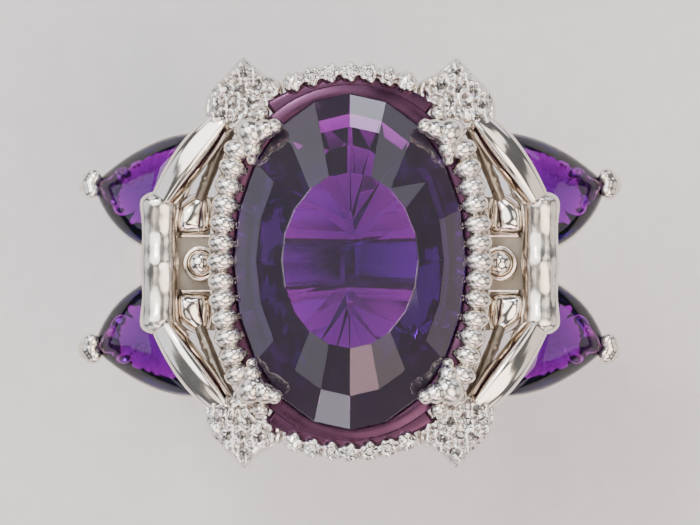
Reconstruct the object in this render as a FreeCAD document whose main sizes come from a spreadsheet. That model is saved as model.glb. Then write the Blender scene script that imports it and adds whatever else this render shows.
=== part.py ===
import FreeCAD, Part
import math
import os

import Sketcher

# A cocktail ring in white gold. The finger axis is Y, the centre of the finger bore is the origin, and the
# table of the oval centre stone faces +Z. Right is +X, back is +Y. The head repeats in four quadrants, so
# a piece of the back right quadrant is made once and mirrored into the other three.

DIMENSIONS = [
    # the band
    ("bore_radius", 9.05),
    ("shank_thickness", 2.1),
    ("shank_width", 2.6),
    ("shank_rounding", 0.7),
    ("shoulder_inside", 6.3),
    ("shoulder_outside", 8.3),
    ("shoulder_top", 11.7),
    ("shoulder_step", 1.1),
    ("shoulder_bulge_along", 0.42),
    ("shoulder_bulge_out", 0.83),
    ("shoulder_bulge_up", 0.62),
    ("shoulder_foot_height", 0.8),
    ("shoulder_toe", 0.12),
    ("shoulder_inset", 0.1),
    # the oval gallery under the centre stone
    ("base_bottom", 9.3),
    ("base_top", 10.8),
    ("base_half_wide", 6.2),
    ("base_half_long", 7.8),
    ("base_rail", 1.6),
    ("cup_top", 14.3),
    ("cup_foot_half_wide", 5.5),
    ("cup_foot_half_long", 6.8),
    ("cup_rim_half_wide", 6.6),
    ("cup_rim_half_long", 8.4),
    ("cup_wall", 0.7),
    ("cup_lip", 0.7),
    ("cup_seat", 0.6),
    ("cup_seat_overlap", 0.01),
    # the oval centre stone
    ("stone_half_wide", 5.45),
    ("stone_half_long", 7.9),
    ("stone_sides", 20),
    ("girdle_height", 14.6),
    ("girdle_thickness", 0.2),
    ("culet_height", 11.35),
    ("keel_half_wide", 0.25),
    ("keel_half_long", 2.5),
    ("crown_break_height", 15.5),
    ("crown_break_half_wide", 4.4),
    ("crown_break_half_long", 6.3),
    ("table_height", 16.7),
    ("table_half_wide", 3.2),
    ("table_half_long", 4.1),
    # the beaded rails beside the centre stone
    ("rail_distance", 6.2),
    ("rail_curve", 18.5),
    ("rail_width", 0.6),
    ("rail_height", 0.45),
    ("bead_radius", 0.45),
    ("bead_pitch", 0.9),
    ("beads_per_half_rail", 6),
    ("rail_end", 0.4),
    # the crests at the ends of the oval
    ("crest_distance", 8.9),
    ("crest_curve", 7.5),
    ("crest_width", 0.7),
    ("crest_bottom", 13.2),
    ("crest_top", 14.3),
    ("crest_end_angle", 20.2),
    ("crest_cup_radius", 0.48),
    ("crest_cup_rise", 0.25),
    ("cups_per_half_crest", 3),
    ("melee_radius", 0.28),
    # the ledge that joins each crest to the cup
    ("ledge_bottom", 13.5),
    ("ledge_top", 14.0),
    ("ledge_inset", 0.9),
    ("ledge_width", 1.4),
    ("ledge_end_angle", 33),
    # the proportions of every small round stone, as shares of its radius
    ("melee_pavilion", 0.8),
    ("melee_crown", 0.35),
    ("melee_table", 0.55),
    ("melee_culet_radius", 0.02),
    # the claws that hold the centre stone
    ("claw_wire_radius", 0.5),
    ("claw_gap", 0.05),
    ("claw_across", 4.45),
    ("claw_along", 5.9),
    ("claw_height", 15.0),
    ("claw_lobe_radius", 0.68),
    # the spade-shaped leaves at the four corners
    ("leaf_bottom", 13.1),
    ("leaf_thickness", 1.1),
    ("leaf_melee_radius", 0.306),
    # arms from the leaves to the straps
    ("arm_width", 1.45),
    ("arm_depth", 1.1),
    ("under_arm_radius", 0.29),
    # straps, petals and collets over the shoulders
    ("strap_distance", 8.97),
    ("strap_half_long", 3.5),
    ("strap_half_wide", 0.88),
    ("strap_waist_half_wide", 0.74),
    ("strap_bottom", 12.2),
    ("strap_thickness", 1.25),
    ("plate_inside", 5.6),
    ("plate_outside", 9.3),
    ("plate_half_long", 3.2),
    ("plate_top", 12.2),
    ("plate_edge_height", 0.25),
    ("plate_edge_width", 0.16),
    ("plate_edge_gap", 0.2),
    ("petal_distance", 7.3),
    ("petal_along", 2.38),
    ("petal_half_wide", 0.74),
    ("petal_half_long", 0.95),
    ("petal_rise", 0.85),
    ("collet_distance", 7.05),
    ("collet_radius", 0.85),
    ("collet_wall", 0.22),
    ("collet_height", 0.55),
    ("collet_floor", 0.15),
    ("cabochon_rise", 0.45),
    # the four side trillions
    ("trillion_bulge", 0.55),
    ("trillion_crown", 0.7),
    ("trillion_pavilion", 1.3),
    ("basket_depth", 1.5),
    ("basket_margin", 0.12),
    ("azure_radius", 1.05),
    ("v_claw_radius", 0.5),
    ("v_claw_reach", 0.14),
    ("v_claw_rise", 0.2),
    ("v_claw_spread", 0.32),
    # larger than the head in every direction, for blocks that only clear a space
    ("head_reach", 10),
]

# Points of the back right quadrant, seen from above as (x, y), or in space as (x, y, z).
LEAF_TIP = (4.99, 9.73)
LEAF_OUTER_SIDE = [LEAF_TIP, (5.4, 9.4), (5.95, 8.8), (6.65, 8.1), (6.92, 7.2), (6.75, 6.4)]
LEAF_NECK = (5.95, 6.12)
LEAF_INNER_SIDE = [
    (5.2, 6.3),
    (4.5, 6.62),
    (3.85, 7.05),
    (3.3, 7.5),
    (3.1, 8.05),
    (3.3, 8.6),
    (3.95, 8.85),
    (4.5, 9.35),
    LEAF_TIP,
]
LEAF_STONES = [
    (4.98, 8.95),
    (4.35, 8.3),
    (5.1, 8.15),
    (5.75, 8.2),
    (4.85, 7.45),
    (5.65, 7.45),
    (6.3, 7.35),
    (5.95, 6.85),
]
ARM_PATH = [(6.2, 6.6, 13.62), (7.3, 5.15, 13.5), (8.75, 3.1, 12.95)]
UNDER_ARM_PATH = [(5.5, 6.5, 13.2), (7.1, 2.95, 12.6)]
TRILLION_CORNERS = [(12.2, 3.9, 8.6), (7.3, 6.2, 11.0), (9.35, 0.75, 10.75)]

# A claw's lobes: each one's place from the head's centre, and its share of the head's radius.
CLAW_LOBES = {
    "hook": ((-0.95, 0.3, 0.5), 0.8),
    "bead": ((-0.28, 0.98, -0.1), 0.6),
    "tail": ((0.1, -1.0, -0.1), 0.7),
}

# A strap's stations: each one's share of its half length, and of its full half width or "waist".
STRAP_ENDS = 0.72
STRAP_KNUCKLE_AT = 0.84
STRAP_WAIST_AT = 0.42

# The outlines of a trillion and its basket: each row's share of the girdle, and its height from it.
STONE_KEEL = 0.14
STONE_SHOULDER = (0.86, 0.55)
STONE_TOP = 0.5
BASKET_FOOT = 0.66
BASKET_RIM = 1.04

DOC = FreeCAD.newDocument("cocktail_ring")
SHEET = DOC.addObject("Spreadsheet::Sheet", "dims")
NODES = {}
UP = FreeCAD.Vector(0, 0, 1)
ACROSS = FreeCAD.Vector(1, 0, 0)
ALONG = FreeCAD.Vector(0, 1, 0)


def fill_sheet():
    """Each driving dimension is one cell of column B, with its name beside it in column A."""
    for row, (alias, value) in enumerate(DIMENSIONS, start=1):
        SHEET.set(f"A{row}", alias)
        SHEET.set(f"B{row}", str(value))
        SHEET.setAlias(f"B{row}", alias)
    DOC.recompute()


def size(alias):
    return float(SHEET.get(alias))


def vector(x, y, z):
    return FreeCAD.Vector(x, y, z)


def primitive(kind, name, base=None, rotation=None, **formulas):
    """A Part primitive whose sizes follow the sheet."""
    made = DOC.addObject("Part::" + kind, name)
    made.Placement = FreeCAD.Placement(base or FreeCAD.Vector(), rotation or FreeCAD.Rotation())
    for prop, formula in formulas.items():
        made.setExpression(prop, formula)
    return made


def lift(made, formula):
    made.setExpression("Placement.Base.z", formula)
    return made


def fuse(name, shapes):
    made = DOC.addObject("Part::MultiFuse", name)
    made.Shapes = shapes
    return made


def cut(name, base, *tools):
    """Takes each tool out of the base in turn. The last cut carries the name."""
    for count, tool in enumerate(tools, start=1):
        label = name if count == len(tools) else f"{name}_cut_{count}"
        made = DOC.addObject("Part::Cut", label)
        made.Base = base
        made.Tool = tool
        base = made
    return base


def feature(name, shape, placement=None):
    """A free-form solid, already shaped from the sheet's sizes, and where it goes."""
    made = DOC.addObject("Part::Feature", name)
    made.Shape = shape
    made.Placement = placement or FreeCAD.Placement()
    return made


def raised(height):
    return FreeCAD.Placement(UP * height, FreeCAD.Rotation())


def node(name, made):
    made.Label = name
    NODES[name] = made
    return made


def mirror(name, source, normal):
    made = DOC.addObject("Part::Mirroring", name)
    made.Source = source
    made.Normal = normal
    return node(name, made)


def four_corners(stem, source):
    """The back right piece and its three mirror images."""
    node(stem + "_back_right", source)
    back_left = mirror(stem + "_back_left", source, ACROSS)
    mirror(stem + "_front_right", source, ALONG)
    mirror(stem + "_front_left", back_left, ALONG)


def both_sides(stem, source):
    node(stem + "_right", source)
    mirror(stem + "_left", source, ACROSS)


def both_ends(stem, source):
    node(stem + "_back", source)
    mirror(stem + "_front", source, ALONG)


def new_sketch(body, name, role):
    sketch = body.newObject("Sketcher::SketchObject", name)
    planes = [plane for plane in body.Origin.OriginFeatures if plane.Role == role]
    sketch.AttachmentSupport = [(planes[0], "")]
    sketch.MapMode = "FlatFace"
    return sketch


def edges_where(shape, wanted):
    return [f"Edge{i}" for i, edge in enumerate(shape.Edges, start=1) if wanted(edge)]


def oval(name, half_wide, half_long, height):
    """An ellipse with its long axis along Y, at a height."""
    turned = FreeCAD.Rotation(UP, 90)
    made = primitive("Ellipse", name, None, turned, MajorRadius=half_long, MinorRadius=half_wide)
    return lift(made, height)


def oval_cone(name, foot, top):
    """A solid between two ovals. Each is its half width, half length and height, as formulas."""
    made = DOC.addObject("Part::Loft", name)
    made.Sections = [oval(name + "_foot", *foot), oval(name + "_top", *top)]
    made.Solid = True
    made.Ruled = True
    return made


def rod(name, start, end, radius):
    """A straight round wire from one point to another."""
    run = end - start
    made = primitive("Cylinder", name, start, FreeCAD.Rotation(UP, run), Radius=radius)
    made.Height = run.Length
    return made


def ball(name, centre, radius):
    return primitive("Sphere", name, centre, None, Radius=radius)


def clearing(name, width, height):
    """A block across the whole head, from the bore's centre plane up."""
    made = primitive("Box", name, None, None, Length="2 * dims.head_reach", Width=width, Height=height)
    made.setExpression("Placement.Base.x", "-dims.head_reach")
    return made


# ---- the band ----------------------------------------------------------------------------------------

def make_shank():
    body = DOC.addObject("PartDesign::Body", "shank")
    sketch = new_sketch(body, "shank_section", "XY_Plane")
    inner = size("bore_radius")
    outer = inner + size("shank_thickness")
    half = size("shank_width") / 2
    corners = [(inner, -half), (outer, -half), (outer, half), (inner, half)]
    for here, there in zip(corners, corners[1:] + corners[:1]):
        sketch.addGeometry(Part.LineSegment(vector(*here, 0), vector(*there, 0)))
    for side in range(4):
        sketch.addConstraint(Sketcher.Constraint("Coincident", side, 2, (side + 1) % 4, 1))
    for side in (0, 2):
        sketch.addConstraint(Sketcher.Constraint("Horizontal", side))
    sketch.addConstraint(Sketcher.Constraint("Vertical", 3))
    sketch.addConstraint(Sketcher.Constraint("Symmetric", 1, 1, 1, 2, -1))
    driven = [
        (Sketcher.Constraint("DistanceX", -1, 1, 0, 1, inner), "dims.bore_radius"),
        (Sketcher.Constraint("DistanceX", 0, 1, 0, 2, outer - inner), "dims.shank_thickness"),
        (Sketcher.Constraint("DistanceY", 1, 1, 1, 2, 2 * half), "dims.shank_width"),
    ]
    for constraint, formula in driven:
        index = sketch.addConstraint(constraint)
        sketch.setExpression(f"Constraints[{index}]", formula)
    ring = body.newObject("PartDesign::Revolution", "shank_ring")
    ring.Profile = sketch
    ring.ReferenceAxis = (sketch, ["V_Axis"])
    ring.Angle = 360
    DOC.recompute()
    rims = edges_where(
        ring.Shape,
        lambda edge: isinstance(edge.Curve, Part.Circle) and abs(edge.Curve.Radius - outer) < 1e-6,
    )
    rounding = body.newObject("PartDesign::Fillet", "shank_rounding")
    rounding.Base = (ring, rims)
    rounding.setExpression("Radius", "dims.shank_rounding")
    return node("shank", body)


def make_shoulder():
    """The cathedral shoulder, a web that grows out of the band and rises to carry the plate."""
    outer = size("bore_radius") + size("shank_thickness")
    inside = size("shoulder_inside")
    outside = size("shoulder_outside")
    top = size("shoulder_top")
    foot_height = size("shoulder_foot_height")
    step = top - size("shoulder_step")
    heel = vector(inside, math.sqrt(outer**2 - inside**2), 0)
    foot = vector(math.sqrt(outer**2 - foot_height**2), foot_height, 0)
    toe = foot * (1 + size("shoulder_toe") / outer)
    between = (heel + foot).normalize() * outer
    corner = vector(outside, step, 0)
    swell = vector(size("shoulder_bulge_out"), size("shoulder_bulge_up"), 0)
    bulge = corner + (toe - corner) * size("shoulder_bulge_along") + swell
    body = DOC.addObject("PartDesign::Body", "shoulder_right")
    sketch = new_sketch(body, "shoulder_profile", "XZ_Plane")
    sketch.addGeometry(Part.LineSegment(heel, vector(inside, top, 0)))
    sketch.addGeometry(Part.LineSegment(vector(inside, top, 0), vector(outside, top, 0)))
    sketch.addGeometry(Part.LineSegment(vector(outside, top, 0), corner))
    sketch.addGeometry(Part.Arc(corner, bulge, toe))
    sketch.addGeometry(Part.LineSegment(toe, foot))
    sketch.addGeometry(Part.Arc(foot, between, heel))
    web = body.newObject("PartDesign::Pad", "shoulder_web")
    web.Profile = sketch
    web.SideType = "Symmetric"
    web.setExpression("Length", "dims.shank_width - 2 * dims.shoulder_inset")
    DOC.recompute()
    both_sides("shoulder", body)
    return body


# ---- the centre stone and its setting ----------------------------------------------------------------

def oval_polygon(half_wide, half_long, height):
    """One row of corners of the faceted oval, with a corner on each axis."""
    sides = int(size("stone_sides"))
    corners = []
    for count in range(sides + 1):
        turn = 2 * math.pi * (count % sides) / sides
        corners.append(vector(half_wide * math.cos(turn), half_long * math.sin(turn), height))
    return Part.makePolygon(corners)


def make_center_stone():
    """Keel, girdle, two rows of crown facets and the table of a 20-sided oval cut."""
    wide = size("stone_half_wide")
    long = size("stone_half_long")
    girdle = size("girdle_height")
    rows = [
        oval_polygon(size("keel_half_wide"), size("keel_half_long"), size("culet_height")),
        oval_polygon(wide, long, girdle),
        oval_polygon(wide, long, girdle + size("girdle_thickness")),
        oval_polygon(
            size("crown_break_half_wide"), size("crown_break_half_long"), size("crown_break_height")
        ),
        oval_polygon(size("table_half_wide"), size("table_half_long"), size("table_height")),
    ]
    return node("center_stone", feature("center_stone", Part.makeLoft(rows, True, True)))


def make_gallery_base():
    """An oval rail astride the band, which carries the cup and the claws."""
    block = oval_cone(
        "base_block",
        ("dims.base_half_wide", "dims.base_half_long", "dims.base_bottom"),
        ("dims.base_half_wide", "dims.base_half_long", "dims.base_top"),
    )
    hollow = ("dims.base_half_wide - dims.base_rail", "dims.base_half_long - dims.base_rail")
    window = oval_cone(
        "base_window",
        (*hollow, "dims.base_bottom - dims.base_rail"),
        (*hollow, "dims.base_top + dims.base_rail"),
    )
    finger = primitive(
        "Cylinder",
        "band_envelope",
        None,
        FreeCAD.Rotation(UP, ALONG),
        Radius="dims.bore_radius + dims.shank_thickness",
        Height="2 * dims.head_reach",
    )
    finger.setExpression("Placement.Base.y", "-dims.head_reach")
    slot = clearing("band_slot", "dims.shank_width", "2 * dims.head_reach")
    slot.setExpression("Placement.Base.y", "-dims.shank_width / 2")
    band = DOC.addObject("Part::Common", "band_under_base")
    band.Base = finger
    band.Tool = slot
    return node("gallery_base", cut("gallery_base", block, window, band))


def make_stone_cup(stone):
    """The cup's outer wall, its hollow, and a lip cut to the pavilion as the stone's bearing."""
    outer = oval_cone(
        "cup_outer",
        ("dims.cup_foot_half_wide", "dims.cup_foot_half_long", "dims.base_top"),
        ("dims.cup_rim_half_wide", "dims.cup_rim_half_long", "dims.cup_top"),
    )
    wall = "dims.cup_wall"
    hollow_top = "dims.cup_top - dims.cup_lip"
    hollow = oval_cone(
        "cup_hollow",
        (f"dims.cup_foot_half_wide - {wall}", f"dims.cup_foot_half_long - {wall}", "dims.base_top"),
        (f"dims.cup_rim_half_wide - {wall}", f"dims.cup_rim_half_long - {wall}", hollow_top),
    )
    opening = ("dims.stone_half_wide - dims.cup_seat", "dims.stone_half_long - dims.cup_seat")
    seat = oval_cone("cup_seat", (*opening, "dims.base_top"), (*opening, "dims.cup_top + dims.cup_lip"))
    below = clearing("cup_seat_lower", "2 * dims.head_reach", f"{hollow_top} - dims.cup_seat_overlap")
    below.setExpression("Placement.Base.y", "-dims.head_reach")
    seat_upper = cut("cup_seat_upper", seat, below)
    node("stone_cup", cut("stone_cup", outer, hollow, seat_upper, stone))
    return outer


# ---- claws, rails and crests -------------------------------------------------------------------------

def beside_oval(half_wide, half_long, turn, gap, height):
    """A point at a gap outside an oval, in the direction of one of its parameters."""
    on_oval = vector(half_wide * math.cos(turn), half_long * math.sin(turn), height)
    outward = vector(math.cos(turn) / half_wide, math.sin(turn) / half_long, 0).normalize()
    return on_oval + outward * gap


def make_claw(base, stone):
    """A wire up the outside of the cup, ending in a lobed head that hooks over the stone's edge."""
    head = vector(size("claw_across"), size("claw_along"), size("claw_height"))
    turn = math.atan2(head.y / size("cup_rim_half_long"), head.x / size("cup_rim_half_wide"))
    wire = size("claw_wire_radius")
    foot_oval = (size("cup_foot_half_wide"), size("cup_foot_half_long"))
    rim_oval = (size("cup_rim_half_wide"), size("cup_rim_half_long"))
    foot = beside_oval(*foot_oval, turn, wire, size("base_top"))
    knee = beside_oval(*rim_oval, turn, wire + size("claw_gap"), size("cup_top"))
    pieces = [
        rod("claw_wire", foot, knee, "dims.claw_wire_radius"),
        ball("claw_knee", knee, "dims.claw_wire_radius"),
        rod("claw_neck", knee, head, "dims.claw_wire_radius"),
        ball("claw_head", head, "dims.claw_lobe_radius"),
    ]
    for name, (offset, share) in CLAW_LOBES.items():
        pieces.append(ball(f"claw_{name}", head + vector(*offset), f"dims.claw_lobe_radius * {share}"))
    claw = cut("claw", fuse("claw_whole", pieces), base, stone)
    four_corners("claw", claw)
    return claw


def arc_bar(name, centre, heading, half_angle, curve, width, levels):
    """Part of a flat ring about a point, facing a heading. The levels are its bottom and top."""
    bottom, top = levels
    turn = FreeCAD.Rotation(UP, heading - half_angle)
    height = f"{top} - {bottom}"
    radii = {"outer": f"{curve} + {width} / 2", "inner": f"{curve} - {width} / 2"}
    sectors = {}
    for edge, radius in radii.items():
        sector = primitive("Cylinder", f"{name}_{edge}", centre, turn, Radius=radius, Height=height)
        sectors[edge] = lift(sector, bottom)
    sectors["outer"].Angle = 2 * half_angle
    return cut(name, sectors["outer"], sectors["inner"])


def make_beaded_rail(claws, stone):
    curve = size("rail_curve")
    centre = size("rail_distance") - curve
    count = int(size("beads_per_half_rail"))
    pitch = size("bead_pitch")
    reach = math.degrees((count + size("rail_end")) * pitch / curve)
    levels = ("dims.cup_top", "dims.cup_top + dims.rail_height")
    bar = arc_bar("rail_bar", vector(centre, 0, 0), 0, reach, "dims.rail_curve", "dims.rail_width", levels)
    pieces = [bar]
    for step in range(-count, count + 1):
        turn = step * pitch / curve
        spot = vector(centre + curve * math.cos(turn), curve * math.sin(turn), 0)
        bead = ball(f"rail_bead_{step + count}", spot, "dims.bead_radius")
        pieces.append(lift(bead, "dims.cup_top + dims.bead_radius"))
    rail = cut("beaded_rail", fuse("rail_whole", pieces), *claws, stone)
    both_sides("beaded_rail", rail)
    return rail


def crest_spots(step_count):
    """Places along the back crest, at the pitch of the beads, counted from its middle."""
    curve = size("crest_curve")
    centre = size("crest_distance") - curve
    pitch = size("bead_pitch")
    for step in range(-step_count, step_count + 1):
        turn = step * pitch / curve
        yield step, vector(curve * math.sin(turn), centre + curve * math.cos(turn), 0)


def brilliant(name, spot, radius, girdle):
    """A small round stone: a cone below the girdle and a low cone above it."""
    depth = f"{radius} * dims.melee_pavilion"
    lower = primitive(
        "Cone",
        name + "_pavilion",
        spot,
        None,
        Radius1="dims.melee_culet_radius",
        Radius2=radius,
        Height=depth,
    )
    lift(lower, f"{girdle} - {depth}")
    upper = primitive(
        "Cone",
        name + "_crown",
        spot,
        None,
        Radius1=radius,
        Radius2=f"{radius} * dims.melee_table",
        Height=f"{radius} * dims.melee_crown",
    )
    lift(upper, girdle)
    return fuse(name, [lower, upper])


def make_crest(cup_outer):
    """A scalloped bar set with small stones, and the ledge that joins it to the cup."""
    middle = vector(0, size("crest_distance") - size("crest_curve"), 0)
    back = 90
    levels = ("dims.crest_bottom", "dims.crest_top")
    reach = size("crest_end_angle")
    bar = arc_bar("crest_bar", middle, back, reach, "dims.crest_curve", "dims.crest_width", levels)
    levels = ("dims.ledge_bottom", "dims.ledge_top")
    reach = size("ledge_end_angle")
    inset = "(dims.crest_curve - dims.ledge_inset)"
    ledge = arc_bar("crest_ledge", middle, back, reach, inset, "dims.ledge_width", levels)
    pieces = [bar, ledge]
    stones = []
    count = int(size("cups_per_half_crest"))
    brim = "dims.crest_top + dims.crest_cup_rise"
    for step, spot in crest_spots(count):
        cup = primitive(
            "Cylinder",
            f"crest_cup_{step + count}",
            spot,
            None,
            Radius="dims.crest_cup_radius",
            Height=f"{brim} - dims.crest_bottom",
        )
        pieces.append(lift(cup, "dims.crest_bottom"))
        if abs(step) < count:
            stones.append(brilliant(f"crest_stone_{step + count}", spot, "dims.melee_radius", brim))
    melee = DOC.addObject("Part::Compound", "crest_melee")
    melee.Links = stones
    crest = cut("crest", fuse("crest_whole", pieces), cup_outer, *stones)
    both_ends("crest", crest)
    both_ends("crest_melee", melee)
    return crest


# ---- corner leaves and arms --------------------------------------------------------------------------

def spline(points):
    """A smooth edge through flat points."""
    curve = Part.BSplineCurve()
    curve.interpolate([vector(x, y, 0) for x, y in points])
    return curve.toShape()


def make_leaf(claw, crest):
    """A spade-shaped plate: a smooth neck, and two round shoulders that run into a point at the corner."""
    ends = [LEAF_OUTER_SIDE[-1], LEAF_NECK, LEAF_INNER_SIDE[0]]
    neck = Part.Arc(*[vector(x, y, 0) for x, y in ends]).toShape()
    outline = Part.Wire([spline(LEAF_OUTER_SIDE), neck, spline(LEAF_INNER_SIDE)])
    plate = Part.Face(outline).extrude(UP * size("leaf_thickness"))
    surface = "dims.leaf_bottom + dims.leaf_thickness"
    stones = [
        brilliant(f"leaf_stone_{i}", vector(x, y, 0), "dims.leaf_melee_radius", surface)
        for i, (x, y) in enumerate(LEAF_STONES)
    ]
    melee = DOC.addObject("Part::Compound", "leaf_melee")
    melee.Links = stones
    leaf = cut("leaf", feature("leaf_plate", plate, raised(size("leaf_bottom"))), claw, crest, *stones)
    four_corners("leaf", leaf)
    four_corners("leaf_melee", melee)
    return leaf


def make_strap(plate):
    """A scalloped bar across the ends of the arms, wide at its ends and middle."""
    distance = size("strap_distance")
    wide = size("strap_half_wide")
    waist = size("strap_waist_half_wide")
    reach = size("strap_half_long")
    blunt = wide * STRAP_ENDS
    half_run = [(0, wide), (STRAP_WAIST_AT, waist), (STRAP_KNUCKLE_AT, wide), (1, blunt)]
    stations = [(-share, half) for share, half in reversed(half_run[1:])] + half_run
    outside = [(distance + half, share * reach) for share, half in stations]
    inside = [(distance - half, share * reach) for share, half in reversed(stations)]
    ends = []
    for here, there in ((outside[-1], inside[0]), (inside[-1], outside[0])):
        ends.append(Part.makeLine(vector(*here, 0), vector(*there, 0)))
    outline = Part.Wire([spline(outside), ends[0], spline(inside), ends[1]])
    bar = Part.Face(outline).extrude(UP * size("strap_thickness"))
    strap = cut("strap", feature("strap_bar", bar, raised(size("strap_bottom"))), plate)
    both_sides("strap", strap)
    return strap


def swept_bar(path, half_wide, half_deep):
    """An oval section swept along the arc through three points."""
    arc = Part.Arc(*path).toShape()
    heading = arc.tangentAt(arc.FirstParameter)
    side = heading.cross(UP).normalize()
    over = side.cross(heading).normalize()
    oval_edge = Part.Ellipse(vector(0, 0, 0), half_wide, half_deep).toShape()
    oval_edge.Placement = FreeCAD.Placement(path[0], FreeCAD.Rotation(side, over, heading, "ZXY"))
    return Part.Wire(arc).makePipeShell([Part.Wire(oval_edge)], True, True)


def make_arms(leaf, strap, petal):
    """The polished arm, and the thin bar that runs beside and below it."""
    path = [vector(*point) for point in ARM_PATH]
    arm_shape = swept_bar(path, size("arm_width") / 2, size("arm_depth") / 2)
    arm = cut("arm", feature("arm_bar", arm_shape), leaf, strap)
    four_corners("arm", arm)
    start, end = (vector(*point) for point in UNDER_ARM_PATH)
    bar = rod("under_arm_bar", start, end, "dims.under_arm_radius")
    under_arm = cut("under_arm", bar, leaf, petal)
    four_corners("under_arm", under_arm)


# ---- plates, petals and collets over the shoulders ---------------------------------------------------

def make_plate(cup_outer):
    """A flat plate on the shoulder, with two thin raised edges beside the collet."""
    floor = primitive(
        "Box",
        "plate_floor",
        None,
        None,
        Length="dims.plate_outside - dims.plate_inside",
        Width="2 * dims.plate_half_long",
        Height="dims.plate_top - dims.shoulder_top",
    )
    floor.setExpression("Placement.Base.x", "dims.plate_inside")
    floor.setExpression("Placement.Base.y", "-dims.plate_half_long")
    lift(floor, "dims.shoulder_top")
    pieces = [floor]
    for name, side in (("back", "1"), ("front", "-1")):
        edge = primitive(
            "Box",
            f"plate_edge_{name}",
            None,
            None,
            Length="dims.strap_distance - dims.strap_half_wide - dims.plate_inside - dims.plate_edge_gap",
            Width="dims.plate_edge_width",
            Height="dims.plate_edge_height",
        )
        edge.setExpression("Placement.Base.x", "dims.plate_inside")
        edge.setExpression("Placement.Base.y", f"{side} * dims.shank_width / 2 - dims.plate_edge_width / 2")
        pieces.append(lift(edge, "dims.plate_top"))
    plate = cut("plate", fuse("plate_whole", pieces), cup_outer)
    both_sides("shoulder_plate", plate)
    return plate


def make_petal():
    """A polished domed leaf between the strap and the beaded rail."""
    dome = primitive(
        "Ellipsoid",
        "petal_dome",
        vector(size("petal_distance"), size("petal_along"), 0),
        None,
        Radius1="dims.petal_rise",
        Radius2="dims.petal_half_wide",
        Radius3="dims.petal_half_long",
    )
    lift(dome, "dims.plate_top")
    dome.Angle1 = 0
    four_corners("petal", dome)
    return dome


def make_collet():
    """A round tube on the plate, with a cabochon set in it."""
    centre = vector(size("collet_distance"), 0, 0)
    bore = "dims.collet_radius - dims.collet_wall"
    floor = "dims.plate_top + dims.collet_floor"
    height = "dims.collet_height"
    tube = primitive("Cylinder", "collet_tube", centre, None, Radius="dims.collet_radius", Height=height)
    lift(tube, "dims.plate_top")
    seat = primitive("Cylinder", "collet_seat", centre, None, Radius=bore, Height=height)
    lift(seat, floor)
    post_height = f"{height} - dims.collet_floor"
    post = primitive("Cylinder", "cabochon_body", centre, None, Radius=bore, Height=post_height)
    lift(post, floor)
    dome = primitive(
        "Ellipsoid",
        "cabochon_dome",
        centre,
        None,
        Radius1="dims.cabochon_rise",
        Radius2=bore,
        Radius3=bore,
    )
    lift(dome, f"dims.plate_top + {height}")
    dome.Angle1 = 0
    both_sides("collet", cut("collet", tube, seat))
    both_sides("collet_stone", fuse("cabochon", [post, dome]))


# ---- the side trillions ------------------------------------------------------------------------------

def trillion_frame():
    """The three corners of the back right trillion, and the placement of its girdle plane."""
    tip, upper, lower = (vector(*corner) for corner in TRILLION_CORNERS)
    centre = (tip + upper + lower) * (1 / 3)
    normal = (upper - tip).cross(lower - tip).normalize()
    heading = (tip - centre).normalize()
    placement = FreeCAD.Placement(centre, FreeCAD.Rotation(heading, normal.cross(heading), normal, "ZXY"))
    local = [placement.inverse().multVec(corner) for corner in (tip, upper, lower)]
    return placement, local


def trillion_outline(corners, scale, height):
    """A triangle with bowed sides, drawn in the girdle plane and moved along its normal."""
    bulge = size("trillion_bulge")
    arcs = []
    for here, there in zip(corners, corners[1:] + corners[:1]):
        middle = (here + there) * 0.5
        bowed = middle + vector(middle.x, middle.y, 0).normalize() * bulge
        points = [vector(p.x * scale, p.y * scale, height) for p in (here, bowed, there)]
        arcs.append(Part.Arc(*points).toShape())
    return Part.Wire(arcs)


def make_trillion(shoulder):
    placement, corners = trillion_frame()
    crown = size("trillion_crown")
    pavilion = size("trillion_pavilion")
    shoulder_share, shoulder_rise = STONE_SHOULDER
    stone_rows = [
        (STONE_KEEL, -pavilion),
        (1, 0),
        (shoulder_share, crown * shoulder_rise),
        (STONE_TOP, crown),
    ]
    stone_shape = Part.makeLoft([trillion_outline(corners, *row) for row in stone_rows], True, True)
    stone = feature("trillion_stone", stone_shape, placement)
    depth = size("basket_depth")
    basket_rows = [(BASKET_FOOT, -depth), (BASKET_RIM, -size("basket_margin"))]
    basket_shape = Part.makeLoft([trillion_outline(corners, *row) for row in basket_rows], True, True)
    azure = rod(
        "trillion_azure",
        placement.multVec(vector(0, 0, -2 * depth)),
        placement.multVec(vector(0, 0, 0)),
        "dims.azure_radius",
    )
    radius = "dims.v_claw_radius"
    spread = size("v_claw_spread")
    reach = corners[0].x + size("v_claw_reach")
    foot = placement.multVec(vector(reach - spread, 0, -depth))
    head = placement.multVec(vector(reach, 0, size("v_claw_rise")))
    pieces = [rod("v_claw_post", foot, head, radius), ball("v_claw_head", head, radius)]
    for side, name in ((-1, "lower"), (1, "upper")):
        wing = placement.multVec(vector(reach - spread, side * spread, size("v_claw_rise")))
        pieces.append(ball(f"v_claw_{name}", wing, radius))
    v_claw_whole = fuse("v_claw_whole", pieces)
    v_claw = cut("v_claw", v_claw_whole, stone)
    block = feature("basket_block", basket_shape, placement)
    basket = cut("trillion_basket", block, azure, stone, v_claw, shoulder)
    four_corners("trillion_stone", stone)
    four_corners("v_claw", v_claw)
    four_corners("trillion_basket", basket)


def faults():
    """Everything that failed to recompute, and every node whose shape is missing or not valid."""
    found = [f"{each.Name}: {each.State}" for each in DOC.Objects if {"Invalid", "Error"} & set(each.State)]
    for name, made in NODES.items():
        if made.Shape.isNull() or not made.Shape.isValid() or not made.Shape.Solids:
            found.append(f"{name}: shape is missing or not valid")
    return found


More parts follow.
